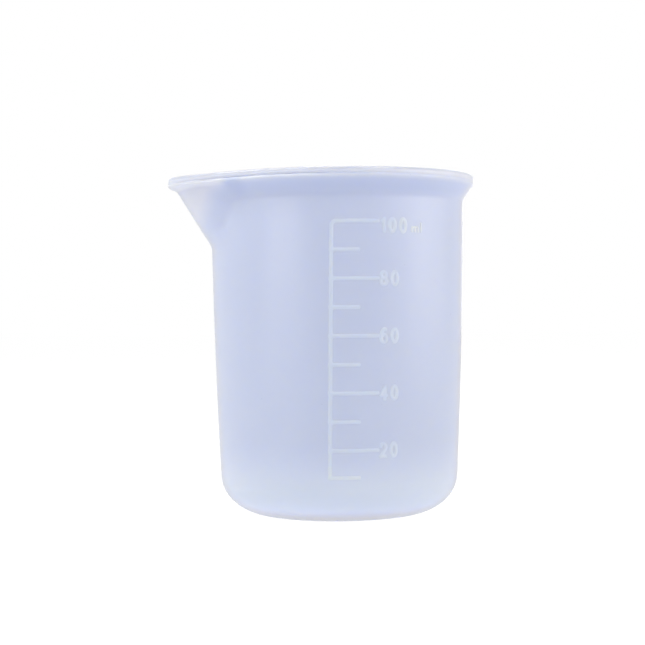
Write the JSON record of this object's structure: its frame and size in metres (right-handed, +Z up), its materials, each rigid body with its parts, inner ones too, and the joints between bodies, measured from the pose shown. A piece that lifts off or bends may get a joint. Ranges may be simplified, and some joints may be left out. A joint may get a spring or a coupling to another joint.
{
  "type": "measuring cup",
  "caption": "Soft translucent beaker-shaped measuring cup with a rolled lip, a slanted pouring spout, a rounded foot and a raised scale of volume lines on one side.",
  "frame": {"origin": "on the surface that the cup stands on, under the axis of its round body", "axes": "+Z up through the open mouth, -X towards the tip of the spout, -Y towards the side that carries the scale"},
  "size_m": [0.064, 0.0572, 0.07],
  "materials": {
    "silicone_body": "satin translucent silicone",
    "silicone_marks": "satin translucent silicone, a little paler where it stands proud"
  },
  "bodies": {
    "root": {"cup_body": "silicone_body", "graduation_scale": "silicone_marks"}
  },
  "joints": []
}
